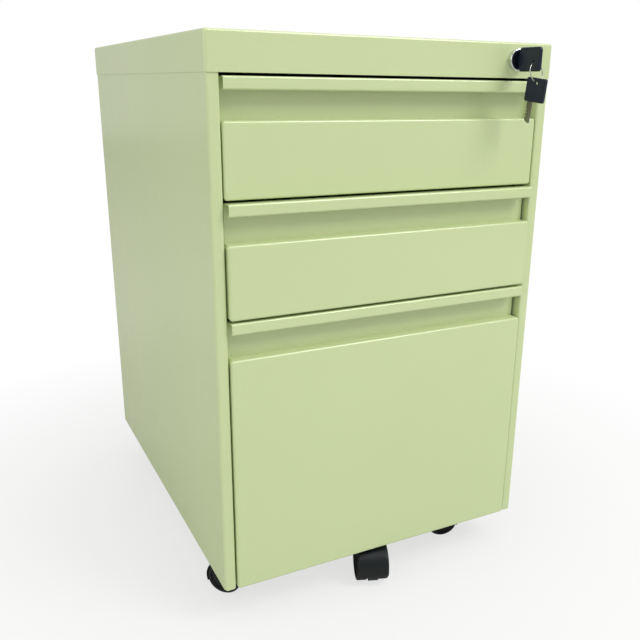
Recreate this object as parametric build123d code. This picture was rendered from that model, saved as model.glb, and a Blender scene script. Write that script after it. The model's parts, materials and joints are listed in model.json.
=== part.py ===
from build123d import *
from math import atan2, cos, radians, sin, sqrt, tan
import os

# Mobile three-drawer pedestal in folded sheet steel, millimetres.
# Z is up from the floor, -Y is the drawer side, X = 0 is the middle of the width.

# overall sizes
body_width = 390.0
body_depth = 500.0
body_height = 572.0
floor_gap = 46.0
front_y = -226.14
back_y = front_y + body_depth
half_width = body_width / 2

# sheet thicknesses and bends
cap_sheet = 0.8
shell_sheet = 1.0
base_sheet = 1.2
front_sheet = 1.0
tray_sheet = 0.8
slide_sheet = 1.2
bend_inside = 1.0

# clearances
joint_gap = 0.1
body_gap = 0.3
pivot_gap = 0.05

# top cap
skirt_height = 36.0
cap_fold_radius = 2.5
cap_corner_radius = 3.0

# side panels
stile_width = 12.5
stile_return = 24.0
stile_bend = 1.4
rear_flange = 20.0
foot_corner_radius = 3.0

# drawer fronts, top drawer first; the file drawer's front takes the height that is left
front_top_gap = 2.7
box_front_heights = [110.8, 113.5]
front_gaps = [2.5, 2.6]
front_foot_gap = 0.5
front_ajar = [0.0, 5.0, 3.0]
front_side_gap = 1.3
lip_side_gap = 2.7
lip_height = 12.0
lip_forward = 2.0
lip_return = 4.0
pull_opening = 27.0
pull_depth = 14.0
front_fold = 2.2
front_corner = 3.2
front_rim_depth = 15.0

# trays, from the drawer front's lower edge
tray_floor_up = [6.0, 6.0, 11.5]
box_tray_height = 84.0
file_tray_room = 57.4
tray_length = [440.0, 440.0, 450.0]
tray_side_room = 12.7
tray_rim = 7.0
tray_corner = 2.0

# slides
slide_front_setback = 44.0
slide_length = 436.0
box_slide_height = 36.0
file_slide_height = 46.0
slide_below_rim = [57.0, 57.0, 108.5]
raceway_lip = 1.5
slide_flange_reach = 10.7
slide_bend_inside = 0.6

# slide carriers
carrier_bottom = 16.0
carrier_below_front = 5.3
carrier_front_setback = 42.0
carrier_back_setback = 12.0
carrier_step = 0.2
guide_half_height = 6.0
guide_tongue_half = 2.0
guide_bend_inside = 0.2
upper_guide_up = 17.5
lower_guide_down = 63.9

# base plate
base_up = 6.0
base_rim = 9.0
base_front_tongue = 16.0
notch_half_width = 50.0
notch_depth = 96.0
notch_corner = 12.0
notch_mouth_corner = 6.0
tongue_corner = 4.0
base_corner = 0.5
base_shoulder_gap = 1.5

# back panel
back_sheet = 0.8
back_rim = 12.0
back_side_gap = 2.5

# front rail behind the cap's skirt
rail_top_flange = 18.0
rail_bottom_flange = 14.0
rail_above_skirt_edge = 1.0

# lock
lock_inset = 47.9
lock_above_middle = 0.5
ring_radius = 11.15
ring_proud = 5.5
ring_bevel = 1.0
plug_face_radius = 9.2
plug_face_depth = 3.5
plug_face_bevel = 0.5
plug_recess = 0.3
plug_radius = 6.9
barrel_radius = 9.4
barrel_length = 22.6
pin_radius = 2.0
pin_throw = 4.8
pin_length = 5.6
keyway_width = 2.4
keyway_height = 8.6
keyway_end_room = 0.5

# keys
bow_thickness = 3.8
bow_bevel = 0.6
bow_height = 24.0
bow_length = 31.9
bow_corner = 3.5
collar_length = 1.7
collar_height = 12.0
collar_step = 0.5
blade_thickness = 2.2
blade_height = 8.2
blade_in_plug = 17.0
blade_in_bow = 8.0
blade_point = 3.0
blade_point_radius = 0.8
notch_width = 1.6
notch_cut = 1.4
notch_pitch = 3.6
notch_count = 3
bow_hole_radius = 2.2
bow_hole_from_tip = 8.2
bow_hole_drop = 2.3
spare_bow_width = 24.8
spare_bow_height = 24.0
spare_bow_corner = 2.0
spare_hole_radius = 2.2
spare_hole_below_top = 5.0
spare_blade_thickness = 1.8
spare_blade_width = 5.6
spare_blade_offset = 5.0
spare_blade_length = 22.5
spare_lean = 6.8

# key ring
ring_wire = 0.5
wire_room = 0.6
ring_mean_radius = 9.7
ring_lean = 13.7
ring_yaw = 9.5

# lock bar
bar_sheet = 2.0
bar_wall_gap = 2.2
bar_width = 7.6
bar_below_catch = 1.5
bar_head_half = 7.0
bar_head_margin = 5.0
bar_corner = 1.0
bar_slot_room = 0.45
bar_slot_flat = 0.05
hook_height = 12.0
hook_reach = 12.0
hook_rise = 0.6
catch_height = 10.0
catch_sheet = 1.5
catch_play = 5.7
catch_bend_inside = 0.5
catch_foot = 16.0
catch_side_gap = 1.8
catch_below_rim = [33.0, 33.0, 73.5]

# castors
castor_height = 52.0
wheel_radius = 20.5
castor_width = 38.0
wheel_width = 12.6
castor_trail = 22.5
fender_gap = 0.7
fender_wall = 1.6
fender_low = 13.5
core_low = 7.0
boss_radius = 10.5
boss_below_axle = 6.0
fender_edge_radius = 2.4
pin_end_height = 4.0
pin_end_room = 1.0
tread_radius = 1.8
dish_rim = 4.5
dish_depth = 1.2
hub_radius = 6.5
hub_set_in = 0.3
hub_floor = 3.0
axle_end = 1.6
kingpin_radius = 4.0
axle_radius = 3.0
plate_size = 42.0
plate_sheet = 2.0
plate_corner = 5.0
screw_pitch = 32.0
screw_radius = 2.0
castor_side_inset = 46.0
front_castor_y = 56.0
rear_castor_inset = 54.0
fifth_castor_y = 33.4
castor_headings = {
    "front_left": 137.0,
    "front_right": 162.0,
    "rear_left": 20.0,
    "rear_right": 151.0,
    "fifth": 250.0,
}

# bracket of the fifth castor
bracket_web_half = 25.0
bracket_foot_width = 13.0
bracket_front = 14.0
bracket_rear = 34.0

# values that follow from the ones above
top_z = floor_gap + body_height
panel_top_z = top_z - cap_fold_radius
cap_overhang = cap_sheet + joint_gap
opening_half = half_width - stile_width
front_half = opening_half - front_side_gap
lip_half = opening_half - lip_side_gap
slide_outer_x = opening_half - carrier_step
tray_half = slide_outer_x - tray_side_room
carrier_x = slide_outer_x
fascia_y = front_y - cap_overhang
rail_y = front_y
bar_y = front_y + stile_return + body_gap
base_z = floor_gap + base_up
lock_x = half_width - lock_inset
lock_z = top_z - skirt_height / 2 + lock_above_middle
pin_angle = radians(45)
lock_travel = 2 * pin_throw * sin(pin_angle)
bar_inner_x = half_width - shell_sheet - bar_wall_gap - bar_width
corner_castor_x = half_width - castor_side_inset
rear_castor_y = body_depth - rear_castor_inset

# each front's lower and upper edge, up from the panels' lower edge
front_levels = []
edge = body_height - skirt_height - front_top_gap
for front_height, gap_below in zip(box_front_heights, front_gaps):
    front_levels.append((edge - front_height, edge))
    edge = edge - front_height - gap_below
front_levels.append((front_foot_gap, edge))
tray_side_height = [box_tray_height, box_tray_height, edge - front_foot_gap - file_tray_room]


def level(height):
    """Height above the panels' lower edge, as a height above the floor."""
    return floor_gap + height


def rim_level(index):
    """Upper edge of a tray's sides, up from the panels' lower edge."""
    return front_levels[index][0] + tray_floor_up[index] + tray_side_height[index]


def catch_level(index):
    """Lower edge of a drawer's catch, up from the panels' lower edge."""
    return rim_level(index) - catch_below_rim[index]


def at(plane, u, v):
    """A point of a plan (xy), side (yz) or front (xz) drawing."""
    if plane == "xy":
        return (u, v, 0)
    if plane == "yz":
        return (0, u, v)
    return (u, 0, v)


def normal_of(plane):
    """The direction that a drawing's section is pulled along."""
    return {"xy": (0, 0, 1), "yz": (1, 0, 0), "xz": (0, 1, 0)}[plane]


def rounded_path(points, radii, closed):
    """Segments of a polyline with rounded corners: ('line', a, b) and ('arc', a, m, b)."""
    count = len(points)
    segments = []
    cursor = None
    first = None
    order = range(count) if closed else range(1, count - 1)
    starts = [] if closed else [points[0]]
    if starts:
        cursor = starts[0]
    for i in order:
        before = points[i - 1]
        here = points[i]
        after = points[(i + 1) % count]
        ax, ay = here[0] - before[0], here[1] - before[1]
        bx, by = after[0] - here[0], after[1] - here[1]
        la, lb = sqrt(ax * ax + ay * ay), sqrt(bx * bx + by * by)
        ax, ay, bx, by = ax / la, ay / la, bx / lb, by / lb
        turn = atan2(ax * by - ay * bx, ax * bx + ay * by)
        reach = radii[i] * tan(abs(turn) / 2)
        start = (here[0] - ax * reach, here[1] - ay * reach)
        end = (here[0] + bx * reach, here[1] + by * reach)
        if cursor is not None:
            segments.append(("line", cursor, start))
        else:
            first = start
        if reach > 1e-9:
            side = 1 if turn > 0 else -1
            centre = (start[0] - ay * radii[i] * side, start[1] + ax * radii[i] * side)
            half = turn / 2
            rx, ry = start[0] - centre[0], start[1] - centre[1]
            middle = (
                centre[0] + rx * cos(half) - ry * sin(half),
                centre[1] + rx * sin(half) + ry * cos(half),
            )
            segments.append(("arc", start, middle, end))
        cursor = end
    if closed:
        segments.append(("line", cursor, first))
    else:
        segments.append(("line", cursor, points[-1]))
    return segments


def face_of(segments, plane):
    """The flat face inside a closed run of segments."""
    edges = []
    for segment in segments:
        ends = [at(plane, *p) for p in segment[1:]]
        if segment[0] == "line":
            if (Vector(*ends[0]) - Vector(*ends[1])).length > 1e-7:
                edges.append(Line(*ends))
        else:
            edges.append(ThreePointArc(*ends))
    return Face(Wire(edges))


def rounded_face(points, radius, plane):
    """A polygon with every corner rounded; radius is one value or one per corner."""
    radii = radius if isinstance(radius, list) else [radius] * len(points)
    return face_of(rounded_path(points, radii, True), plane)


def folded_face(points, thickness, inside, plane):
    """The section of a folded sheet left of the line through points, or right if thickness is negative."""
    count = len(points)
    units = []
    for a, b in zip(points, points[1:]):
        length = sqrt((b[0] - a[0]) ** 2 + (b[1] - a[1]) ** 2)
        units.append(((b[0] - a[0]) / length, (b[1] - a[1]) / length))
    near_radii = [0.0] * count
    far_radii = [0.0] * count
    far = []
    for i in range(count):
        d1 = units[max(i - 1, 0)]
        d2 = units[min(i, count - 2)]
        n1, n2 = (-d1[1], d1[0]), (-d2[1], d2[0])
        scale = thickness / (1 + n1[0] * n2[0] + n1[1] * n2[1])
        far.append((points[i][0] + (n1[0] + n2[0]) * scale, points[i][1] + (n1[1] + n2[1]) * scale))
        turn = d1[0] * d2[1] - d1[1] * d2[0]
        outside = inside + abs(thickness)
        if turn * thickness > 1e-9:
            near_radii[i], far_radii[i] = outside, inside
        elif turn * thickness < -1e-9:
            near_radii[i], far_radii[i] = inside, outside
    out = rounded_path(points, near_radii, False)
    back = rounded_path(far[::-1], far_radii[::-1], False)
    closing = [("line", points[-1], far[-1])]
    ending = [("line", far[0], points[0])]
    return face_of(out + closing + back + ending, plane)


def pull(face, plane, start, end):
    """The solid of a section between two stations along its normal."""
    axis = Vector(*normal_of(plane))
    return extrude(face.moved(Location(axis * start)), amount=end - start, dir=tuple(axis))


def block(x0, x1, y0, y1, z0, z1):
    """A box between two corners."""
    return Pos((x0 + x1) / 2, (y0 + y1) / 2, (z0 + z1) / 2) * Box(x1 - x0, y1 - y0, z1 - z0)


def rod(radius, start, end, axis, place):
    """A round bar along one axis, between two stations, at the other two coordinates."""
    length = end - start
    middle = (start + end) / 2
    if axis == "x":
        return Pos(middle, place[0], place[1]) * Rot(0, 90, 0) * Cylinder(radius, length)
    if axis == "y":
        return Pos(place[0], middle, place[1]) * Rot(90, 0, 0) * Cylinder(radius, length)
    return Pos(place[0], place[1], middle) * Cylinder(radius, length)


def mirrored(solid):
    """The same piece on the other side of the unit."""
    return mirror(solid, about=Plane.YZ)


# cabinet


def top_cap():
    """Pressed cap: flat top with a deep skirt on all four sides, hole for the lock barrel."""
    half = half_width + cap_overhang
    outer = block(-half, half, fascia_y, back_y + cap_overhang, top_z - skirt_height, top_z)
    outer = fillet(outer.edges().filter_by(Axis.Z), cap_corner_radius)
    outer = fillet(outer.faces().sort_by(Axis.Z)[-1].edges(), cap_fold_radius)
    cap = offset(outer, amount=-cap_sheet, openings=outer.faces().sort_by(Axis.Z)[0], kind=Kind.INTERSECTION)
    hole = rod(barrel_radius + joint_gap, fascia_y - 1, fascia_y + cap_sheet + 1, "y", (lock_x, lock_z))
    return cap - hole


def side_panel():
    """Right side: rear flange, wide web, front stile and its return, one folded sheet."""
    points = [
        (half_width - rear_flange, back_y),
        (half_width, back_y),
        (half_width, front_y),
        (half_width - stile_width, front_y),
        (half_width - stile_width, front_y + stile_return),
    ]
    section = folded_face(points[::-1], shell_sheet, stile_bend, "xy")
    panel = pull(section, "xy", level(0), panel_top_z)
    corner = foot_corner_radius
    x_in = half_width - stile_width
    for x_edge, way in ((x_in, 1), (half_width, -1)):
        slab = block(min(x_edge, x_edge + way * corner), max(x_edge, x_edge + way * corner),
                     front_y - 1, front_y + corner, level(0) - 1, level(corner))
        keep = rod(corner, front_y - 2, front_y + corner + 1, "y", (x_edge + way * corner, level(corner)))
        panel = panel - (slab - keep)
    return panel


def back_panel():
    """Back sheet inside the side panels' rear flanges, with rims turned forward."""
    half = half_width - shell_sheet - back_side_gap
    back_face = back_y - shell_sheet
    low = level(base_up + base_sheet)
    points = [
        (back_face - back_rim, low),
        (back_face, low),
        (back_face, panel_top_z),
        (back_face - back_rim, panel_top_z),
    ]
    return pull(folded_face(points, back_sheet, bend_inside, "yz"), "yz", -half, half)


def base_outline():
    """Plan of the base plate with the tongue between the stiles and the fifth castor's notch."""
    half = half_width - shell_sheet - joint_gap
    tongue = opening_half - body_gap
    front = front_y + base_front_tongue
    shoulder = front_y + stile_return + base_shoulder_gap
    rear = back_y - shell_sheet - back_sheet - joint_gap
    notch_y = front_y + notch_depth
    points = [
        (-half, rear),
        (-half, shoulder),
        (-tongue, shoulder),
        (-tongue, front),
        (-notch_half_width, front),
        (-notch_half_width, notch_y),
        (notch_half_width, notch_y),
        (notch_half_width, front),
        (tongue, front),
        (tongue, shoulder),
        (half, shoulder),
        (half, rear),
    ]
    right_half = [notch_corner, notch_mouth_corner, tongue_corner] + [base_corner] * 3
    radii = right_half[::-1] + right_half
    return points, radii, half, shoulder, rear


def base_plate():
    """Floor of the cabinet with upturned side rims; the corner castors screw to it."""
    points, radii, half, shoulder, rear = base_outline()
    plate = pull(rounded_face(points, radii, "xy"), "xy", base_z, base_z + base_sheet)
    for side in (-1, 1):
        rim = [
            (side * (half - base_rim), base_z),
            (side * half, base_z),
            (side * half, base_z + base_rim),
        ]
        strip = folded_face(rim, side * base_sheet, bend_inside, "xz")
        plate = plate + pull(strip, "xz", shoulder, rear)
    for x, y in corner_castor_spots().values():
        for sx, sy in screw_spots():
            plate = plate - rod(screw_radius + joint_gap, base_z - 1, base_z + base_sheet + 1, "z", (x + sx, y + sy))
    return plate


def front_rail():
    """Folded rail behind the skirt, between the stiles; the lock barrel passes through it."""
    half = opening_half - body_gap
    low = top_z - skirt_height + rail_above_skirt_edge
    high = panel_top_z - joint_gap
    points = [
        (rail_y + rail_bottom_flange, low),
        (rail_y, low),
        (rail_y, high),
        (rail_y + rail_top_flange, high),
    ]
    section = folded_face(points[::-1], shell_sheet, bend_inside, "yz")
    rail = pull(section, "yz", -half, half)
    hole = rod(barrel_radius + joint_gap, rail_y - 1, rail_y + shell_sheet + 1, "y", (lock_x, lock_z))
    return rail - hole


def slide_carrier(with_guides):
    """Vertical channel on the right side panel that carries the slides of all drawers."""
    wall = half_width - shell_sheet
    front = front_y + carrier_front_setback
    rear = back_y - carrier_back_setback
    points = [(wall, front), (carrier_x, front), (carrier_x, rear), (wall, rear)]
    section = folded_face(points[::-1], shell_sheet, bend_inside, "xy")
    carrier = pull(section, "xy", level(carrier_bottom), level(front_levels[0][1] - carrier_below_front))
    if with_guides:
        lower = front_levels[2][1] - lower_guide_down
        upper = front_levels[0][0] + upper_guide_up
        for centre in (level(lower), level(upper)):
            carrier = carrier + bar_guide(centre, front)
    return carrier


def bar_guide(centre, front):
    """Lanced tongue that reaches forward from the carrier and holds the lock bar in line."""
    x_mid = bar_inner_x + bar_width / 2
    x_left = bar_inner_x - body_gap - shell_sheet
    x_right = bar_inner_x + bar_width + body_gap + shell_sheet
    rear_face = bar_y + bar_sheet + body_gap
    points = [
        (x_left, bar_y + body_gap),
        (x_left, rear_face + shell_sheet),
        (x_right, rear_face + shell_sheet),
        (x_right, bar_y + body_gap),
    ]
    low, high = centre - guide_half_height, centre + guide_half_height
    cradle = pull(folded_face(points, -shell_sheet, guide_bend_inside, "xy"), "xy", low, high)
    tongue = block(
        x_mid - guide_tongue_half, x_mid + guide_tongue_half,
        rear_face + shell_sheet / 2, front + shell_sheet / 2, low, high)
    return cradle + tongue


# slides


def slide_channel(height, web_x, tip_x, lip):
    """Right-hand rail section: web at web_x, two flanges to tip_x, each with a turned lip."""
    half = height / 2
    points = [(tip_x, -half), (web_x, -half), (web_x, half), (tip_x, half)]
    if lip > 0:
        points = [(tip_x, -half + slide_sheet + lip)] + points + [(tip_x, half - slide_sheet - lip)]
    toward_left = slide_sheet if tip_x < web_x else -slide_sheet
    return folded_face(points, toward_left, slide_bend_inside, "xz")


def slide_heights(index):
    """Heights of a drawer's nested rails, cabinet rail first."""
    outer = file_slide_height if index == 2 else box_slide_height
    heights = [outer]
    for _ in range(2 if index == 2 else 1):
        heights.append(heights[-1] - 2 * (slide_sheet + raceway_lip + body_gap))
    return heights


def slide_centre(index):
    """Height of a drawer's slides above the floor."""
    return level(rim_level(index) - slide_below_rim[index])


def slide_start():
    """Front end of the closed slides."""
    return front_y + slide_front_setback


def cabinet_rail(index):
    """Rail fixed to the right-hand carrier."""
    tip = slide_outer_x - slide_flange_reach
    section = slide_channel(slide_heights(index)[0], slide_outer_x, tip, raceway_lip)
    rail = pull(section, "xz", slide_start(), slide_start() + slide_length)
    return Pos(0, 0, slide_centre(index)) * rail


def middle_rail(index):
    """Telescoping rail between the cabinet rail and the drawer rail."""
    web = slide_outer_x - slide_sheet - body_gap
    tip = slide_outer_x - slide_flange_reach
    section = slide_channel(slide_heights(index)[1], web, tip, raceway_lip)
    start = slide_start() - front_ajar[index] / 2
    return Pos(0, 0, slide_centre(index)) * pull(section, "xz", start, start + slide_length)


def drawer_rail(index):
    """Rail fixed to the tray's right side."""
    nested = len(slide_heights(index)) - 1
    tip = slide_outer_x - nested * (slide_sheet + body_gap)
    section = slide_channel(slide_heights(index)[-1], tray_half, tip, 0)
    start = slide_start() - front_ajar[index]
    return Pos(0, 0, slide_centre(index)) * pull(section, "xz", start, start + slide_length)


# drawers


def front_pan(low, high, y):
    """The flat panel with its turned rims, rounded at every outer edge and open behind."""
    outer = block(-front_half, front_half, y, y + front_rim_depth, low, high)
    outer = fillet(outer.edges().filter_by(Axis.Y), front_corner)
    outer = fillet(outer.faces().sort_by(Axis.Y)[0].edges(), front_fold)
    return offset(outer, amount=-front_sheet, openings=outer.faces().sort_by(Axis.Y)[-1], kind=Kind.INTERSECTION)


def drawer_front(index):
    """Folded front: overhanging lip, top, recess wall, ledge and flat panel in one sheet."""
    low, high = (level(z) for z in front_levels[index])
    y = front_y - front_ajar[index]
    ledge = high - lip_height - pull_opening
    pan = front_pan(low, ledge, y)
    wall_back = y + pull_depth + front_sheet
    lip_face = y - lip_forward
    points = [
        (wall_back, ledge - front_sheet),
        (wall_back, high),
        (lip_face, high),
        (lip_face, high - lip_height),
        (lip_face + lip_return, high - lip_height),
    ]
    hook = pull(folded_face(points, front_sheet, bend_inside, "yz"), "yz", -lip_half, lip_half)
    return pan + hook


def drawer_tray(index):
    """Open tray with rims turned in along the sides."""
    low = level(front_levels[index][0] + tray_floor_up[index])
    high = low + tray_side_height[index]
    y0 = front_y - front_ajar[index] + front_rim_depth
    y1 = y0 + tray_length[index]
    outer = block(-tray_half, tray_half, y0, y1, low, high)
    outer = fillet(outer.edges().filter_by(Axis.Z), tray_corner)
    outer = fillet(outer.faces().sort_by(Axis.Z)[0].edges(), tray_corner)
    tray = offset(outer, amount=-tray_sheet, openings=outer.faces().sort_by(Axis.Z)[-1], kind=Kind.INTERSECTION)
    for side in (-1, 1):
        rim = block(
            min(side * tray_half, side * (tray_half - tray_rim)),
            max(side * tray_half, side * (tray_half - tray_rim)),
            y0 + tray_corner, y1 - tray_corner, high - tray_sheet, high)
        tray = tray + rim
    return tray


def drawer_catch(index):
    """Angle on the tray's right side; the lowered hook stands in front of its tab."""
    low = level(catch_level(index))
    y = bar_y + bar_sheet + catch_play - front_ajar[index]
    points = [
        (tray_half, y + catch_foot),
        (tray_half, y),
        (opening_half - catch_side_gap, y),
    ]
    return pull(folded_face(points, catch_sheet, catch_bend_inside, "xy"), "xy", low, low + catch_height)


def castor_bracket():
    """Hat channel under the file drawer that carries the fifth castor."""
    top = level(front_levels[2][0] + tray_floor_up[2])
    web = castor_height
    foot_half = bracket_web_half + bracket_foot_width
    points = [
        (-foot_half, top - base_sheet),
        (-bracket_web_half, top - base_sheet),
        (-bracket_web_half, web),
        (bracket_web_half, web),
        (bracket_web_half, top - base_sheet),
        (foot_half, top - base_sheet),
    ]
    middle = front_y - front_ajar[2] + fifth_castor_y
    section = folded_face(points, base_sheet, bend_inside, "xz")
    hat = pull(section, "xz", middle - bracket_front, middle + bracket_rear)
    for sx, sy in screw_spots():
        hat = hat - rod(screw_radius + joint_gap, web - 1, web + base_sheet + 1, "z", (sx, middle + sy))
    return hat


# lock


def lock_housing():
    """Barrel with its polished bezel ring; bored for the plug."""
    barrel = rod(barrel_radius, fascia_y - ring_bevel / 2, fascia_y + barrel_length, "y", (lock_x, lock_z))
    bezel = rod(ring_radius, fascia_y - ring_proud, fascia_y, "y", (lock_x, lock_z))
    bezel = fillet(bezel.faces().sort_by(Axis.Y)[0].edges(), ring_bevel)
    front = fascia_y - ring_proud
    body = bezel + barrel
    pocket_floor = front + plug_face_depth + pivot_gap
    body = body - rod(plug_face_radius + pivot_gap, front - 1, pocket_floor, "y", (lock_x, lock_z))
    return body - rod(plug_radius + pivot_gap, front, fascia_y + barrel_length + 1, "y", (lock_x, lock_z))


def lock_plug():
    """Turning plug: black face disc, keyway, and the eccentric pin on its end that works the lock bar."""
    front = key_front()
    rear = fascia_y + barrel_length + body_gap
    face = rod(plug_face_radius, front, fascia_y - ring_proud + plug_face_depth, "y", (lock_x, lock_z))
    face = fillet(face.faces().sort_by(Axis.Y)[0].edges(), plug_face_bevel)
    shank = rod(plug_radius, front + plug_face_bevel, rear, "y", (lock_x, lock_z))
    slot = block(
        lock_x - keyway_width / 2, lock_x + keyway_width / 2,
        front - 1, front + blade_in_plug + keyway_end_room,
        lock_z - keyway_height / 2, lock_z + keyway_height / 2)
    pin_place = (lock_x + pin_throw * cos(pin_angle), lock_z + pin_throw * sin(pin_angle))
    pin = rod(pin_radius, rear - plug_face_bevel, rear + pin_length, "y", pin_place)
    return face + shank - slot + pin


def lock_bar():
    """Flat bar with a slotted head on the plug's pin and one hook for each drawer."""
    top = lock_z + lock_travel / 2
    slot_half = pin_radius + bar_slot_room
    slot_start = lock_x + pin_throw * cos(pin_angle) - slot_half
    slot_end = lock_x + pin_throw + slot_half
    outer_x = bar_inner_x + bar_width
    rear = bar_y + bar_sheet
    strip_low = level(catch_level(2)) - bar_below_catch
    strip = block(bar_inner_x, outer_x, bar_y, rear, strip_low, top + bar_head_half)
    head = block(slot_start - bar_head_margin, outer_x, bar_y, rear, top - bar_head_half, top + bar_head_half)
    bar = strip + head
    for index in range(3):
        low = level(catch_level(index)) + catch_height + hook_rise
        bar = bar + block(bar_inner_x - hook_reach, bar_inner_x + 1, bar_y, rear, low, low + hook_height)
    bar = fillet(bar.edges().filter_by(Axis.Y), bar_corner)
    slot_points = [
        (slot_start, top - slot_half),
        (slot_end, top - slot_half),
        (slot_end, top + slot_half),
        (slot_start, top + slot_half),
    ]
    slot = pull(rounded_face(slot_points, slot_half - bar_slot_flat, "xz"), "xz", bar_y - 1, bar_y + bar_sheet + 1)
    return bar - slot


# keys


def key_front():
    """Plane of the plug's face, where the collar of the inserted key meets it."""
    return fascia_y - ring_proud + plug_recess


def bow_hole_centre():
    """Middle of the ring hole in the inserted key's grip, as y and z."""
    return (key_front() - collar_length - bow_length + bow_hole_from_tip, lock_z - bow_hole_drop)


def grip_plate(points, corner, centre_x):
    """Plate of a key's grip in the yz plane, bevelled along both flat sides."""
    x0, x1 = centre_x - bow_thickness / 2, centre_x + bow_thickness / 2
    plate = pull(rounded_face(points, corner, "yz"), "yz", x0, x1)
    sides = plate.faces().sort_by(Axis.X)
    return chamfer(sides[0].edges() + sides[-1].edges(), bow_bevel)


def key_bow():
    """Black grip of the inserted key: rounded plate, collar and the hole for the ring."""
    face = key_front()
    root = face - collar_length
    half = bow_height / 2
    points = [
        (root - bow_length, lock_z - half),
        (root, lock_z - half),
        (root, lock_z + half),
        (root - bow_length, lock_z + half),
    ]
    plate = grip_plate(points, bow_corner, lock_x)
    collar_half = bow_thickness / 2 - collar_step
    collar = block(
        lock_x - collar_half, lock_x + collar_half, root - 1, face,
        lock_z - collar_height / 2, lock_z + collar_height / 2)
    hole = rod(bow_hole_radius, lock_x - bow_thickness, lock_x + bow_thickness, "x", bow_hole_centre())
    pocket = block(
        lock_x - blade_thickness / 2, lock_x + blade_thickness / 2,
        face - blade_in_bow, face + 1,
        lock_z - blade_height / 2, lock_z + blade_height / 2)
    return plate + collar - hole - pocket


def key_blade():
    """Flat steel blade from inside the grip into the keyway."""
    face = key_front()
    x0, x1 = lock_x - blade_thickness / 2, lock_x + blade_thickness / 2
    half = blade_height / 2
    start = face - blade_in_bow
    end = face + blade_in_plug
    points = [
        (start, lock_z - half),
        (end - blade_point, lock_z - half),
        (end, lock_z),
        (end - blade_point, lock_z + half),
        (start, lock_z + half),
    ]
    radii = [0] + [blade_point_radius] * 3 + [0]
    blade = pull(rounded_face(points, radii, "yz"), "yz", x0, x1)
    edge_z = lock_z - half
    for k in range(notch_count):
        y0 = face + notch_pitch * (k + 1)
        blade = blade - block(x0 - 1, x1 + 1, y0, y0 + notch_width, edge_z - 1, edge_z + notch_cut)
    return blade


def ring_top():
    """Middle of the ring's wire where it hangs in the inserted key's hole, as y and z."""
    y_hole, z_hole = bow_hole_centre()
    return (y_hole, z_hole - (bow_hole_radius - ring_wire - wire_room))


def ring_place():
    """Moves a ring drawn with its top at the origin, hanging in the xz plane, to where it hangs."""
    y, z = ring_top()
    return Pos(lock_x, y, z) * Rot(0, 0, ring_yaw) * Rot(-ring_lean, 0, 0)


def key_ring():
    """Steel wire ring through both keys."""
    hoop = Rot(90, 0, 0) * Torus(ring_mean_radius, ring_wire)
    return ring_place() * (Pos(0, 0, -ring_mean_radius) * hoop)


def spare_place():
    """Moves a key drawn with the wire at its origin, hanging straight down, to where it hangs."""
    low = (ring_place() * Pos(0, 0, -2 * ring_mean_radius)).position
    return Pos(low.X, low.Y, low.Z) * Rot(0, 0, ring_yaw) * Rot(spare_lean, 0, 0)


def spare_hole_z():
    """The hole's middle in the spare key, from the wire that carries it."""
    return ring_wire + wire_room - spare_hole_radius


def spare_bow():
    """Black grip of the spare key."""
    centre = spare_hole_z()
    top = centre + spare_hole_below_top
    low = top - spare_bow_height
    half = spare_bow_width / 2
    plate = grip_plate([(-half, low), (half, low), (half, top), (-half, top)], spare_bow_corner, 0)
    plate = plate - rod(spare_hole_radius, -bow_thickness, bow_thickness, "x", (0, centre))
    thick_half, wide_half = spare_blade_thickness / 2, spare_blade_width / 2
    pocket = block(
        -thick_half, thick_half, spare_blade_offset - wide_half, spare_blade_offset + wide_half,
        low - 1, low + blade_in_bow)
    return spare_place() * (plate - pocket)


def spare_blade():
    """Steel blade of the spare key, held in the grip's pocket."""
    low = spare_hole_z() + spare_hole_below_top - spare_bow_height
    front = spare_blade_offset - spare_blade_width / 2
    rear = spare_blade_offset + spare_blade_width / 2
    end = low - spare_blade_length
    points = [(front, low + blade_in_bow), (front, end), (rear, end + blade_point), (rear, low + blade_in_bow)]
    radii = [0, blade_point_radius, blade_point_radius, 0]
    thick_half = spare_blade_thickness / 2
    blade = pull(rounded_face(points, radii, "yz"), "yz", -thick_half, thick_half)
    for k in range(notch_count):
        z0 = end + blade_point + notch_pitch * (k + 1)
        blade = blade - block(-thick_half - 1, thick_half + 1, rear - notch_cut, rear + 1, z0, z0 + notch_width)
    return spare_place() * blade


# castors


def corner_castor_spots():
    """Stem positions of the four corner castors."""
    y_front = front_y + front_castor_y
    y_rear = front_y + rear_castor_y
    return {
        "front_left": (-corner_castor_x, y_front),
        "front_right": (corner_castor_x, y_front),
        "rear_left": (-corner_castor_x, y_rear),
        "rear_right": (corner_castor_x, y_rear),
    }


def castor_spots():
    """Stem positions of all five castors."""
    spots = corner_castor_spots()
    spots["fifth"] = (0.0, front_y - front_ajar[2] + fifth_castor_y)
    return spots


def screw_spots():
    """The four screw places of a castor plate, about its middle."""
    half = screw_pitch / 2
    return [(-half, -half), (half, -half), (half, half), (-half, half)]


def castor_plate(x, y):
    """Top plate with four holes and the kingpin that the hood turns on."""
    half = plate_size / 2
    z0 = castor_height - plate_sheet
    corners = [(-half, -half), (half, -half), (half, half), (-half, half)]
    plate = pull(rounded_face(corners, plate_corner, "xy"), "xy", z0, castor_height)
    for sx, sy in screw_spots():
        plate = plate - rod(screw_radius + joint_gap, z0 - 1, castor_height + 1, "z", (sx, sy))
    pin = rod(kingpin_radius, pin_bottom() + pin_end_room, z0 + plate_sheet / 2, "z", (0, 0))
    return Pos(x, y, 0) * (plate + pin)


def pin_bottom():
    """Floor of the blind bore for the kingpin in the hood's boss."""
    return wheel_radius + pin_end_height


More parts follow.
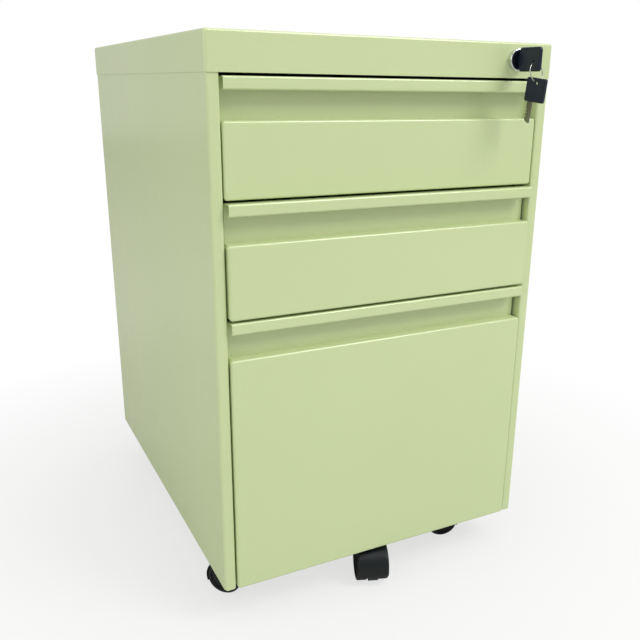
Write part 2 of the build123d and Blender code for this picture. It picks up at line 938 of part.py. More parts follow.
def castor_hood(x, y, heading):
    """Moulded hood: boss on the kingpin, fender over both wheels, core and axle between them."""
    outer = wheel_radius + fender_gap + fender_wall
    centre = (castor_trail, wheel_radius)
    half = castor_width / 2
    fender = rod(outer, -half, half, "y", centre)
    fender = fillet(fender.edges().filter_by(GeomType.CIRCLE), fender_edge_radius)
    boss = rod(boss_radius, wheel_radius - boss_below_axle, castor_height - plate_sheet - body_gap, "z", (0, 0))
    hood = fender + boss
    core = castor_width / 2 - wheel_width - body_gap
    front, rear = -2 * outer, castor_trail + 2 * outer
    below = -wheel_radius
    for side in (-1, 1):
        y0, y1 = sorted((side * core, side * 2 * half))
        hood = hood - rod(wheel_radius + fender_gap, y0, y1, "y", centre)
        hood = hood - block(front, rear, y0, y1, below, fender_low)
    hood = hood - block(front, rear, -2 * core, 2 * core, below, core_low)
    hood = hood - rod(kingpin_radius + pivot_gap, pin_bottom(), castor_height, "z", (0, 0))
    axle = rod(axle_radius, axle_end - half, half - axle_end, "y", centre)
    return Pos(x, y, 0) * Rot(0, 0, heading) * (hood + axle)


def castor_wheel(x, y, heading, side):
    """Twin castor wheel: rounded tread, dished outer face, blind bore for the axle."""
    half = castor_width / 2
    inner = half - wheel_width
    centre = (castor_trail, wheel_radius)
    wheel = rod(wheel_radius, inner, half, "y", centre)
    wheel = fillet(wheel.edges().filter_by(GeomType.CIRCLE), tread_radius)
    dish = rod(wheel_radius - dish_rim, half - dish_depth, half + 1, "y", centre)
    hub = rod(hub_radius, half - hub_floor, half - hub_set_in, "y", centre)
    wheel = wheel - dish + hub
    wheel = wheel - rod(axle_radius + pivot_gap, inner - 1, half - axle_end + body_gap, "y", centre)
    if side < 0:
        wheel = mirror(wheel, about=Plane.XZ)
    return Pos(x, y, 0) * Rot(0, 0, heading) * wheel


# output


def nodes():
    """Every separate piece by name."""
    out = {
        "top_cap": top_cap(),
        "side_panel_right": side_panel(),
        "side_panel_left": mirrored(side_panel()),
        "back_panel": back_panel(),
        "base_plate": base_plate(),
        "front_rail": front_rail(),
        "slide_carrier_right": slide_carrier(True),
        "slide_carrier_left": mirrored(slide_carrier(False)),
        "lock_housing": lock_housing(),
        "lock_plug": lock_plug(),
        "lock_bar": lock_bar(),
        "key_bow": key_bow(),
        "key_blade": key_blade(),
        "key_ring": key_ring(),
        "spare_key_bow": spare_bow(),
        "spare_key_blade": spare_blade(),
        "castor_bracket": castor_bracket(),
    }
    for index in range(3):
        name = f"drawer_{index + 1}"
        out[name + "_front"] = drawer_front(index)
        out[name + "_tray"] = drawer_tray(index)
        out[name + "_catch"] = drawer_catch(index)
        for side, turn in (("right", lambda s: s), ("left", mirrored)):
            out[f"{name}_cabinet_rail_{side}"] = turn(cabinet_rail(index))
            out[f"{name}_drawer_rail_{side}"] = turn(drawer_rail(index))
    out["drawer_3_middle_rail_right"] = middle_rail(2)
    out["drawer_3_middle_rail_left"] = mirrored(middle_rail(2))
    for name, (x, y) in castor_spots().items():
        heading = castor_headings[name]
        out[f"castor_{name}_plate"] = castor_plate(x, y)
        out[f"castor_{name}_hood"] = castor_hood(x, y, heading)
        out[f"castor_{name}_wheel_a"] = castor_wheel(x, y, heading, 1)
        out[f"castor_{name}_wheel_b"] = castor_wheel(x, y, heading, -1)
    return out


os.makedirs("parts", exist_ok=True)
for node_name, shape in nodes().items():
    export_step(shape, f"parts/{node_name}.step")
    box = shape.bounding_box()
    print(f"{node_name:32s} {len(shape.solids())} {shape.volume:12.1f}"
          f" {box.min.X:8.1f} {box.max.X:8.1f} {box.min.Y:8.1f} {box.max.Y:8.1f} {box.min.Z:8.1f} {box.max.Z:8.1f}")
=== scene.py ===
import json
import math

import bmesh
import bpy
from bpy.props import FloatProperty, FloatVectorProperty, IntProperty, PointerProperty
from bpy.types import Operator, Panel, PropertyGroup
from mathutils import Matrix, Vector


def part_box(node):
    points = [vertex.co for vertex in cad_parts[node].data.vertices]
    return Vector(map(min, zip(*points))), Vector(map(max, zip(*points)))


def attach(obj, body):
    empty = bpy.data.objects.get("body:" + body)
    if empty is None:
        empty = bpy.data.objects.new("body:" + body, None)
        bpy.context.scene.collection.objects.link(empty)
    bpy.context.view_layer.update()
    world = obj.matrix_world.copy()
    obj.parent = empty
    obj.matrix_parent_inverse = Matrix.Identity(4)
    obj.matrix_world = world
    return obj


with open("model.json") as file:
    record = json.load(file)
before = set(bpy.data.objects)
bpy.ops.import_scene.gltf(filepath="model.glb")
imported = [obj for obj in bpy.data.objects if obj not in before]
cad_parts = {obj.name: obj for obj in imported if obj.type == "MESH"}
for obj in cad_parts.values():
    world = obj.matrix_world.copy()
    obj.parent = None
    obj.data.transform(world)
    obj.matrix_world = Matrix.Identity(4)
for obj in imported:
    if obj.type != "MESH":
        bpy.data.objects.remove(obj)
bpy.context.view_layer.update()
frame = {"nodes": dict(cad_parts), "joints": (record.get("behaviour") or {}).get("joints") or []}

bl_info = {
    "name": "Mobile Pedestal Finishes",
    "version": (1, 0, 0),
    "blender": (4, 5, 0),
    "location": "3D View > Sidebar > Pedestal",
    "description": "Finishes, fittings and stage for a three-drawer steel pedestal on castors",
    "category": "Object",
}

MM = 0.001
SIDES = (-1, 1)
DRAWERS = (1, 2, 3)
CASTORS = ("front_left", "front_right", "rear_left", "rear_right", "fifth")
WHEELS = ("a", "b")

# Rivets: where they sit, and the head's section as shares of its radius and height.
TRAY_WALL = 0.8 * MM
RAIL_END_SHARE = 0.35
FLANGE_MIDDLE_INSET = 12 * MM
FIRST_RIVET_UP = 35 * MM
LAST_RIVET_DOWN = 60 * MM
RIVET_STEPS = 20
RIVET_SECTION = ((0, 0.35), (0.28, 0.35), (0.32, 1), (0.55, 0.97), (0.8, 0.72), (1, 0.22), (1, 0), (0, 0))

# Castor screws: the head's section as shares of its radius and heights in metres, then M4 thread.
SCREW_STEPS = 24
SCREW_TURN = 0.7
SCREW_HEAD_SECTION = ((0, 0.12 * MM), (0.45, 0.02 * MM), (0.72, 0), (0.9, 0.22 * MM), (1, 0.75 * MM))
THREAD_PITCH = 0.7 * MM
THREAD_CREST = 2.0 * MM
THREAD_ROOT = 1.66 * MM
POINT_LENGTH = 0.3 * MM
POINT_SHARE = 0.8
CROSS_DEPTH = 1.0 * MM

# Wheel ribs: one rib lies along X and stands on the wheel's disc, HUB_OUT from the wheel's joint.
HUB_OUT = 17.9 * MM
RIB_SIZE = (8.6 * MM, 1.3 * MM, 0.8 * MM)
RIB_EDGE = 0.25 * MM
RIB_FROM_HUB = 11.0 * MM

# Grip borders: the band's section as shares of its width and height.
LEAST_CORNER = 0.4 * MM
BORDER_SECTION = ((0, 0), (0.18, 0.8), (0.4, 1), (0.6, 1), (0.82, 0.8), (1, 0))

# Lamps, each with its place and size, and the distances between which the floor turns white.
LAMP_TARGET = Vector((0, 0, 0.3))
KEY_LAMP = ((1.6, -2.1, 2.9), 1.4)
FILL_LAMP = ((-3.0, -0.6, 1.5), 2.2)
TOP_LAMP = ((0.2, -0.5, 3.0), 2.6)
FADE_START = 0.25
FADE_END = 0.75
WHITE_NEAR = 0.7

# Camera, fitted to the edges of the object in the photograph; its tilt, roll and heading in degrees.
CAMERA_PLACE = (-0.41094, -0.90129, 0.57251)
CAMERA_ANGLES = (72.088, -0.781, -27.398)
CAMERA_SHIFT = (-0.0337, 0.0162)
SENSOR_WIDTH = 36.0
CLIP_END = 60.0

# Finishes: how much darker rubbed metal is, and how much paler moulded plastic is in places.
WORN_SHARE = 0.82
PALER_SHARE = 1.35
PALER_OFFSET = 0.0015

PAINTED = ["top_cap", "side_panel_right", "side_panel_left", "back_panel", "base_plate", "front_rail"]
PAINTED += ["slide_carrier_right", "slide_carrier_left", "castor_bracket"]
PAINTED += [f"drawer_{n}_{piece}" for n in DRAWERS for piece in ("front", "tray", "catch")]
PLATED = [f"drawer_{n}_{rail}_rail_{side}" for n in DRAWERS for rail in ("cabinet", "drawer")
          for side in ("right", "left")]
PLATED += ["drawer_3_middle_rail_right", "drawer_3_middle_rail_left", "lock_bar"]
PLATED += [f"castor_{name}_plate" for name in CASTORS]


def hex_to_linear(code):
    """Turns an sRGB hex colour into linear red, green, blue and alpha."""
    values = [int(code[i:i + 2], 16) / 255 for i in (0, 2, 4)]
    return [v / 12.92 if v <= 0.04045 else ((v + 0.055) / 1.055) ** 2.4 for v in values] + [1.0]


def colour(name, code, text):
    """A colour property with an sRGB default."""
    return FloatVectorProperty(name=name, description=text, subtype="COLOR", size=4, min=0, max=1,
                               default=hex_to_linear(code))


def length(name, millimetres, text):
    """A length property given in millimetres."""
    return FloatProperty(name=name, description=text, subtype="DISTANCE", unit="LENGTH",
                         default=millimetres * MM, min=0, precision=4)


class PedestalFinishes(PropertyGroup):
    """Colours and grain sizes of the finishes."""

    paint: colour("Paint", "CDDAA6", "Pale yellow-green powder coat")
    paint_shade: colour("Paint variation", "C9D7A1", "The same coat where it lies a little thicker")
    peel: length("Orange peel", 2.2, "Spacing of the powder coat's ripple")
    zinc: colour("Zinc plate", "B9BCBA", "Bright zinc plating on rails and plates")
    zinc_dull: colour("Zinc plate, dulled", "A3A6A5", "Zinc where handling has dulled it")
    spangle: length("Spangle", 5.0, "Size of the plating's cloudy patches")
    chrome: colour("Chrome", "DADCDD", "Polished chrome of the lock ring")
    nickel: colour("Nickel", "C4C4C0", "Nickel plate on the key ring")
    # The key blades get a darker grey than the key ring's nickel, set in this colour alone.
    blade: colour("Key blade", "85837A", "Darker nickel silver of the key blades")
    passivate: colour("Passivated screw", "C2B98F", "Yellow passivated screw heads")
    plug: colour("Plug plastic", "0B1019", "Gloss black face of the lock plug")
    grip: colour("Key grip", "161D2C", "Moulded black key grips")
    nylon: colour("Castor hood", "0C1214", "Glass-filled black nylon of the hoods")
    tread: colour("Castor tread", "1D1E20", "Wheel tread")
    grain: length("Moulding grain", 0.5, "Spacing of the spark-eroded grain on moulded parts")


class PedestalFittings(PropertyGroup):
    """Sizes of the small fittings."""

    rivet_radius: length("Rivet head radius", 3.4, "Radius of the blind rivets' heads")
    rivet_height: length("Rivet head height", 1.1, "How far the heads stand out")
    rivets_per_rail: IntProperty(
        name="Rivets on each rail", description="Rivets that hold one drawer rail to its tray",
        default=4, min=2, max=12)
    rivets_per_flange: IntProperty(
        name="Rivets on each rear flange", description="Rivets that hold the back panel at each side",
        default=6, min=2, max=20)
    ribs: IntProperty(
        name="Wheel ribs", description="Ribs in the dish of each castor wheel", default=8, min=3, max=24)
    cross_length: length("Screw cross length", 3.8, "Length of the cross recess in the screw heads")
    cross_width: length("Screw cross width", 0.9, "Width of the cross recess in the screw heads")
    screw_head_radius: length("Screw head radius", 3.6, "Radius of the castor screws' heads")
    screw_head_height: length("Screw head height", 1.6, "Height of the castor screws' heads")
    screw_length: length("Screw length", 4.7, "Castor screw from the underside of its head to its end")
    screw_spread: length("Screw spread", 16.0, "Distance of the screws from the middle of their plate")
    plate_sheet: length("Castor plate", 2.0, "Thickness of the castor plates")
    grip_length: length("Key grip length", 31.9, "Length of the inserted key's grip plate")
    grip_height: length("Key grip height", 24.0, "Height of both key grips")
    grip_thickness: length("Key grip thickness", 3.8, "Thickness of both key grips")
    grip_corner: length("Key grip corner", 3.5, "Corner radius of the inserted key's grip")
    spare_grip_width: length("Spare grip width", 24.8, "Width of the spare key's grip")
    spare_grip_corner: length("Spare grip corner", 2.0, "Corner radius of the spare key's grip")
    spare_grip_lean: FloatProperty(
        name="Spare key lean", description="How far the hanging spare key leans",
        subtype="ANGLE", default=math.radians(6.8))
    spare_grip_yaw: FloatProperty(
        name="Spare key turn", description="How far the spare key has turned about the vertical",
        subtype="ANGLE", default=math.radians(9.5))
    border_inset: length("Border inset", 1.3, "Distance of the raised border from the grip's edge")
    border_width: length("Border width", 1.2, "Width of the raised border on the key grips")
    border_height: length("Border height", 0.25, "How far the border on the key grips stands out")


class PedestalStage(PropertyGroup):
    """Camera, lamps and floor."""

    lens: FloatProperty(
        name="Focal length", description="Focal length in millimetres on a 36 mm sensor",
        default=42.688, min=1)
    floor_colour: colour("Floor", "D4D4D0", "Plain pale floor")
    floor_size: length("Floor size", 16000.0, "Side of the square floor")
    key_power: FloatProperty(
        name="Key lamp", description="Power of the lamp in front at the right, in watts",
        default=65.0, min=0)
    fill_power: FloatProperty(
        name="Fill lamp", description="Power of the lamp at the left side, in watts",
        default=24.0, min=0)
    top_power: FloatProperty(
        name="Top lamp", description="Power of the lamp overhead, in watts", default=18.0, min=0)
    ambient: FloatProperty(
        name="Ambient", description="Strength of the even light from all round", default=0.56, min=0)


def add_node(tree, kind, inputs=None, **settings):
    """Adds one node, sets its properties, and fills or links its inputs."""
    made = tree.nodes.new(kind)
    for key, value in settings.items():
        setattr(made, key, value)
    for key, value in (inputs or {}).items():
        if isinstance(value, bpy.types.NodeSocket):
            tree.links.new(value, made.inputs[key])
        else:
            made.inputs[key].default_value = value
    return made


def new_material(name):
    """An empty material with its shader and output; returns material, tree and shader."""
    material = bpy.data.materials.new(name)
    material.use_nodes = True
    tree = material.node_tree
    tree.nodes.clear()
    shader = add_node(tree, "ShaderNodeBsdfPrincipled")
    add_node(tree, "ShaderNodeOutputMaterial", {"Surface": shader.outputs["BSDF"]})
    return material, tree, shader


def pattern(tree, spacing, stretch=(1, 1, 1), detail=2.0):
    """Noise on object coordinates whose features are spacing metres apart."""
    place = add_node(tree, "ShaderNodeTexCoord").outputs["Object"]
    mapped = add_node(tree, "ShaderNodeMapping", {"Vector": place, "Scale": stretch}).outputs["Vector"]
    return add_node(tree, "ShaderNodeTexNoise", {"Vector": mapped, "Scale": 1 / spacing, "Detail": detail})


def between(tree, factor, low, high):
    """Maps a 0 to 1 pattern to a range."""
    mapped = add_node(tree, "ShaderNodeMapRange", {"Value": factor, "To Min": low, "To Max": high})
    return mapped.outputs["Result"]


def blend_colours(tree, factor, first, second):
    """Mixes two colours by a pattern."""
    mix = add_node(tree, "ShaderNodeMix", data_type="RGBA")
    tree.links.new(factor, mix.inputs["Factor"])
    mix.inputs["A"].default_value = first
    mix.inputs["B"].default_value = second
    return mix.outputs["Result"]


def bumped(tree, shader, height, strength, depth):
    """Gives a shader a bump of the given depth in metres."""
    bump = add_node(tree, "ShaderNodeBump", {"Height": height, "Strength": strength, "Distance": depth})
    tree.links.new(bump.outputs["Normal"], shader.inputs["Normal"])


def powder_coat(look):
    """Satin polyester powder coat: an even colour with a fine ripple that softens every reflection."""
    material, tree, shader = new_material("satin_powder_coated_steel")
    broad = pattern(tree, spacing=0.22, detail=1.0).outputs["Fac"]
    tree.links.new(blend_colours(tree, broad, look.paint, look.paint_shade), shader.inputs["Base Color"])
    cloud = pattern(tree, spacing=0.03).outputs["Fac"]
    tree.links.new(between(tree, cloud, low=0.16, high=0.24), shader.inputs["Roughness"])
    shader.inputs["IOR"].default_value = 1.5
    shader.inputs["Specular IOR Level"].default_value = 0.8
    ripple = pattern(tree, look.peel, detail=1.5).outputs["Fac"]
    bumped(tree, shader, ripple, strength=0.12, depth=0.0004)
    return material


def zinc_plate(look):
    """Bright zinc plate on cold-rolled strip: drawn lines along the rail and faint cloudy patches."""
    material, tree, shader = new_material("bright_zinc_plated_steel")
    patch = pattern(tree, look.spangle, detail=3.0).outputs["Fac"]
    tree.links.new(blend_colours(tree, patch, look.zinc, look.zinc_dull), shader.inputs["Base Color"])
    shader.inputs["Metallic"].default_value = 1.0
    # Real drawn lines lie about 0.1 mm apart; these are coarser, so that they show.
    drawn = pattern(tree, spacing=0.0012, stretch=(1, 0.02, 1)).outputs["Fac"]
    tree.links.new(between(tree, drawn, low=0.28, high=0.42), shader.inputs["Roughness"])
    bumped(tree, shader, drawn, strength=0.1, depth=0.0001)
    return material


def polished_chrome(look):
    """Die-cast zinc, polished and chrome plated: a mirror with the faintest waviness."""
    material, tree, shader = new_material("polished_chrome_on_zinc_casting")
    shader.inputs["Base Color"].default_value = look.chrome
    shader.inputs["Metallic"].default_value = 1.0
    haze = pattern(tree, spacing=0.004).outputs["Fac"]
    tree.links.new(between(tree, haze, low=0.05, high=0.13), shader.inputs["Roughness"])
    bumped(tree, shader, haze, strength=0.05, depth=0.0001)
    return material


def key_metal(look, name, tint):
    """Stamped or drawn, then tumbled: soft shine with fine handling scratches."""
    material, tree, shader = new_material(name)
    shader.inputs["Metallic"].default_value = 1.0
    rub = pattern(tree, spacing=0.003, detail=4.0).outputs["Fac"]
    worn = [c * WORN_SHARE for c in tint[:3]] + [1.0]
    tree.links.new(blend_colours(tree, rub, tint, worn), shader.inputs["Base Color"])
    # Real scratches are finer than 0.1 mm; these are coarser, so that they show.
    scratch = pattern(tree, spacing=0.0006, stretch=(1, 1, 0.15)).outputs["Fac"]
    tree.links.new(between(tree, scratch, low=0.18, high=0.34), shader.inputs["Roughness"])
    bumped(tree, shader, scratch, strength=0.12, depth=0.00006)
    return material


def passivated_zinc(look):
    """Yellow passivated screws: straw-coloured film with a hint of green."""
    material, tree, shader = new_material("yellow_passivated_screw_steel")
    shader.inputs["Metallic"].default_value = 1.0
    film = pattern(tree, spacing=0.002, detail=3.0).outputs["Fac"]
    greenish = hex_to_linear("A9A77C")
    tree.links.new(blend_colours(tree, film, look.passivate, greenish), shader.inputs["Base Color"])
    tree.links.new(between(tree, film, low=0.3, high=0.42), shader.inputs["Roughness"])
    return material


def moulded(look, name, tint, low, high, depth):
    """Injection moulded plastic with the fine grain of its tool; low and high are its roughness."""
    material, tree, shader = new_material(name)
    uneven = pattern(tree, spacing=0.012, detail=3.0).outputs["Fac"]
    paler = [min(1.0, c * PALER_SHARE + PALER_OFFSET) for c in tint[:3]] + [1.0]
    tree.links.new(blend_colours(tree, uneven, tint, paler), shader.inputs["Base Color"])
    tree.links.new(between(tree, uneven, low, high), shader.inputs["Roughness"])
    shader.inputs["IOR"].default_value = 1.5
    shader.inputs["Specular IOR Level"].default_value = 0.3
    # The real grain is about 0.2 mm; it is drawn coarser, so that it shows.
    bumped(tree, shader, pattern(tree, look.grain).outputs["Fac"], strength=0.3, depth=depth)
    return material


def dress(names, material):
    """Gives CAD nodes a material in place of their plain one."""
    for name in names:
        slots = frame["nodes"][name].data.materials
        slots.clear()
        slots.append(material)


def finish(name):
    """A finish that was made before, by its name."""
    return bpy.data.materials[name]


def piece_from(name, mesh_data, body, material):
    """Turns mesh data at its final place into a piece that rides on a body."""
    piece = bpy.data.objects.new(name, mesh_data)
    bpy.context.scene.collection.objects.link(piece)
    mesh_data.materials.clear()
    mesh_data.materials.append(material)
    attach(piece, body)
    return piece


def mesh_from(work, name):
    """Turns a bmesh into mesh data with its normals outwards."""
    bmesh.ops.recalc_face_normals(work, faces=work.faces[:])
    data = bpy.data.meshes.new(name)
    work.to_mesh(data)
    work.free()
    return data


def turned(profile, steps, place):
    """A closed solid of revolution: profile of (radius, height) about Z, moved by a matrix."""
    work = bmesh.new()
    rings = []
    for radius, height in profile:
        if radius == 0:
            rings.append([work.verts.new((0, 0, height))])
        else:
            angles = [math.tau * i / steps for i in range(steps)]
            ring = [(radius * math.cos(angle), radius * math.sin(angle), height) for angle in angles]
            rings.append([work.verts.new(point) for point in ring])
    for lower, upper in zip(rings, rings[1:]):
        for i in range(steps):
            j = (i + 1) % steps
            corners = [lower[i % len(lower)], lower[j % len(lower)],
                       upper[j % len(upper)], upper[i % len(upper)]]
            unique = [v for k, v in enumerate(corners) if v not in corners[:k]]
            if len(unique) > 2:
                work.faces.new(unique)
    for face in work.faces:
        face.smooth = True
    work.transform(place)
    return work


def scatter(name, template, places, material, body):
    """Sets one small mesh at many places with Geometry Nodes and returns the plain piece.

    places are matrices; each becomes a point whose rotation is kept as an attribute."""
    points = bpy.data.meshes.new(name + "_points")
    points.from_pydata([place.to_translation() for place in places], [], [])
    turn = points.attributes.new("turn", "QUATERNION", "POINT")
    for i, place in enumerate(places):
        turn.data[i].value = place.to_quaternion()
    holder = bpy.data.objects.new(name + "_holder", points)
    bpy.context.scene.collection.objects.link(holder)
    source = bpy.data.objects.new(name + "_source", template)
    bpy.context.scene.collection.objects.link(source)
    tree = bpy.data.node_groups.new(name + "_tree", "GeometryNodeTree")
    tree.interface.new_socket("Geometry", in_out="INPUT", socket_type="NodeSocketGeometry")
    size = tree.interface.new_socket("Size", in_out="INPUT", socket_type="NodeSocketFloat")
    tree.interface.new_socket("Geometry", in_out="OUTPUT", socket_type="NodeSocketGeometry")
    inlet = add_node(tree, "NodeGroupInput")
    piece = add_node(tree, "GeometryNodeObjectInfo", {"Object": source})
    kept_turn = add_node(tree, "GeometryNodeInputNamedAttribute", {"Name": "turn"}, data_type="QUATERNION")
    spread = add_node(tree, "GeometryNodeInstanceOnPoints", {
        "Points": inlet.outputs["Geometry"], "Instance": piece.outputs["Geometry"],
        "Rotation": kept_turn.outputs["Attribute"], "Scale": inlet.outputs["Size"]})
    real = add_node(tree, "GeometryNodeRealizeInstances", {"Geometry": spread.outputs["Instances"]})
    coat = add_node(tree, "GeometryNodeSetMaterial",
                    {"Geometry": real.outputs["Geometry"], "Material": material})
    add_node(tree, "NodeGroupOutput", {"Geometry": coat.outputs["Geometry"]})
    modifier = holder.modifiers.new("Scatter", "NODES")
    modifier.node_group = tree
    modifier[size.identifier] = 1.0
    graph = bpy.context.evaluated_depsgraph_get()
    result = bpy.data.meshes.new_from_object(holder.evaluated_get(graph))
    result.name = name
    holder.modifiers.clear()
    bpy.data.objects.remove(holder)
    bpy.data.objects.remove(source)
    return piece_from(name, result, body, material)


def facing(point, normal, spin=0.0):
    """A matrix that carries +Z to normal at a point, after a spin about it."""
    turn = Vector(normal).to_track_quat("Z", "Y").to_matrix().to_4x4()
    return Matrix.Translation(point) @ turn @ Matrix.Rotation(spin, 4, "Z")


def rivet_head(sizes):
    """Domed blind rivet head with the small hole that its mandrel leaves."""
    profile = [(sizes.rivet_radius * out, sizes.rivet_height * up) for out, up in RIVET_SECTION]
    return mesh_from(turned(profile, RIVET_STEPS, Matrix.Identity(4)), "rivet_head")


class PEDESTAL_OT_sheet_metal(Operator):
    """Powder coats the cabinet, the drawer fronts and the trays"""

    bl_idname = "pedestal.sheet_metal"
    bl_label = "Powder coat the sheet metal"

    def execute(self, context):
        dress(PAINTED, powder_coat(context.scene.pedestal_finishes))
        return {"FINISHED"}


class PEDESTAL_OT_metal_fittings(Operator):
    """Plates the slides, the lock parts, the keys and the castor plates"""

    bl_idname = "pedestal.metal_fittings"
    bl_label = "Plate the metal fittings"

    def execute(self, context):
        look = context.scene.pedestal_finishes
        dress(PLATED, zinc_plate(look))
        dress(["lock_housing"], polished_chrome(look))
        dress(["key_ring"], key_metal(look, "nickel_plated_spring_wire", look.nickel))
        dress(["key_blade", "spare_key_blade"], key_metal(look, "tumbled_nickel_silver", look.blade))
        return {"FINISHED"}


class PEDESTAL_OT_mouldings(Operator):
    """Gives the castors, the key grips and the plug their moulded plastics"""

    bl_idname = "pedestal.mouldings"
    bl_label = "Finish the plastic mouldings"

    def execute(self, context):
        look = context.scene.pedestal_finishes
        plug = moulded(look, "gloss_black_moulded_abs", look.plug, low=0.18, high=0.28, depth=0.00002)
        grip = moulded(look, "satin_black_moulded_abs", look.grip, low=0.32, high=0.44, depth=0.00006)
        hood = moulded(look, "glass_filled_black_nylon", look.nylon, low=0.3, high=0.42, depth=0.00008)
        tread = moulded(look, "matt_black_moulded_nylon_tread", look.tread,
                        low=0.48, high=0.6, depth=0.0001)
        dress(["lock_plug"], plug)
        dress(["key_bow", "spare_key_bow"], grip)
        dress([f"castor_{name}_hood" for name in CASTORS], hood)
        dress([f"castor_{name}_wheel_{side}" for name in CASTORS for side in WHEELS], tread)
        return {"FINISHED"}


class PEDESTAL_OT_tray_rivets(Operator):
    """Rivets each tray to its drawer rails, heads inside the tray"""

    bl_idname = "pedestal.tray_rivets"
    bl_label = "Tray rivets"

    def execute(self, context):
        sizes = context.scene.pedestal_fittings
        for n in DRAWERS:
            low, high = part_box(f"drawer_{n}_drawer_rail_right")
            spaces = sizes.rivets_per_rail - 1 + 2 * RAIL_END_SHARE
            places = []
            for side in SIDES:
                for i in range(sizes.rivets_per_rail):
                    y = low.y + (high.y - low.y) * (i + RAIL_END_SHARE) / spaces
                    point = (side * (low.x - TRAY_WALL), y, (low.z + high.z) / 2)
                    places.append(facing(point, (-side, 0, 0)))
            scatter(f"drawer_{n}_tray_rivets", rivet_head(sizes), places,
                    finish("bright_zinc_plated_steel"), f"drawer_{n}")
        return {"FINISHED"}


class PEDESTAL_OT_back_rivets(Operator):
    """Rivets the back panel to the side panels' rear flanges"""

    bl_idname = "pedestal.back_rivets"
    bl_label = "Back panel rivets"

    def execute(self, context):
        sizes = context.scene.pedestal_fittings
        low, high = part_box("side_panel_right")
        flange_middle = high.x - FLANGE_MIDDLE_INSET
        first, last = low.z + FIRST_RIVET_UP, high.z - LAST_RIVET_DOWN
        places = []
        for side in SIDES:
            for i in range(sizes.rivets_per_flange):
                z = first + (last - first) * i / (sizes.rivets_per_flange - 1)
                places.append(facing((side * flange_middle, high.y, z), (0, 1, 0)))
        scatter("back_panel_rivets", rivet_head(sizes), places, finish("satin_powder_coated_steel"),
                "cabinet")
        return {"FINISHED"}


class PEDESTAL_OT_castor_screws(Operator):
    """Sets pan head screws with a cross recess and a rolled thread in the castor plates"""

    bl_idname = "pedestal.castor_screws"
    bl_label = "Castor screws"

    def execute(self, context):
        sizes = context.scene.pedestal_fittings
        steel = passivated_zinc(context.scene.pedestal_finishes)
        under_head = sizes.screw_head_height + sizes.screw_length
        for body, names in (("cabinet", CASTORS[:4]), ("drawer_3", CASTORS[4:])):
            places = []
            for name in names:
                low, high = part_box(f"castor_{name}_plate")
                z = high.z - sizes.plate_sheet - sizes.screw_head_height
                for across in SIDES:
                    for along in SIDES:
                        x = (low.x + high.x) / 2 + across * sizes.screw_spread
                        y = (low.y + high.y) / 2 + along * sizes.screw_spread
                        turn = Matrix.Rotation(SCREW_TURN * len(places), 4, "Z")
                        places.append(Matrix.Translation((x, y, z)) @ turn)
            scatter(f"{body}_castor_screws", pan_head_screw(sizes, under_head), places, steel, body)
        return {"FINISHED"}


def pan_head_screw(sizes, height):
    """A screw that stands on its head: pan head, rolled thread above it and a cross cut into the head."""
    radius, head = sizes.screw_head_radius, sizes.screw_head_height
    profile = [(radius * out, up) for out, up in SCREW_HEAD_SECTION]
    profile += [(radius, head), (THREAD_CREST, head)]
    turns = int((height - head) / THREAD_PITCH) - 1
    for k in range(turns):
        profile.append((THREAD_ROOT, head + (k + 0.5) * THREAD_PITCH))
        profile.append((THREAD_CREST, head + (k + 1) * THREAD_PITCH))
    profile += [(THREAD_ROOT, height - POINT_LENGTH), (THREAD_ROOT * POINT_SHARE, height), (0, height)]
    shape = mesh_from(turned(profile, SCREW_STEPS, Matrix.Identity(4)), "screw_solid")
    solid = bpy.data.objects.new("screw_solid", shape)
    half, thin = sizes.cross_length / 2, sizes.cross_width / 2
    work = bmesh.new()
    for long_x, long_y in ((half, thin), (thin, half)):
        made = bmesh.ops.create_cube(work, size=2.0)["verts"]
        bmesh.ops.scale(work, vec=(long_x, long_y, CROSS_DEPTH), verts=made)
    cutter = bpy.data.objects.new("screw_cutter", mesh_from(work, "screw_cutter"))
    for holder in (solid, cutter):
        bpy.context.scene.collection.objects.link(holder)
    cut = solid.modifiers.new("Cross", "BOOLEAN")
    cut.operation = "DIFFERENCE"
    cut.solver = "EXACT"
    cut.use_self = True
    cut.object = cutter
    graph = bpy.context.evaluated_depsgraph_get()
    result = bpy.data.meshes.new_from_object(solid.evaluated_get(graph))
    for holder in (solid, cutter):
        bpy.data.objects.remove(holder)
    return result


class PEDESTAL_OT_wheel_ribs(Operator):
    """Sets ribs in the dish of every castor wheel"""

    bl_idname = "pedestal.wheel_ribs"
    bl_label = "Wheel ribs"

    def execute(self, context):
        sizes = context.scene.pedestal_fittings
        joints = {joint["name"]: joint for joint in frame["joints"]}
        for name in CASTORS:
            for side in WHEELS:
                joint = joints[f"castor_{name}_roll_{side}"]
                outward = Vector(joint["axis"]) * (1 if side == "a" else -1)
                hub = Vector(joint["pos_m"]) + outward * HUB_OUT
                work = bmesh.new()
                bmesh.ops.create_cube(work, size=1.0)
                bmesh.ops.scale(work, vec=RIB_SIZE, verts=work.verts[:])
                bmesh.ops.bevel(work, geom=work.edges[:], offset=RIB_EDGE, segments=2, affect="EDGES")
                bmesh.ops.translate(work, vec=(RIB_FROM_HUB, 0, 0), verts=work.verts[:])
                template = mesh_from(work, "wheel_rib")
                places = [facing(hub, outward, math.tau * i / sizes.ribs) for i in range(sizes.ribs)]
                tread = finish("matt_black_moulded_nylon_tread")
                scatter(f"castor_{name}_ribs_{side}", template, places, tread,
                        f"castor_{name}_wheel_{side}")
        return {"FINISHED"}


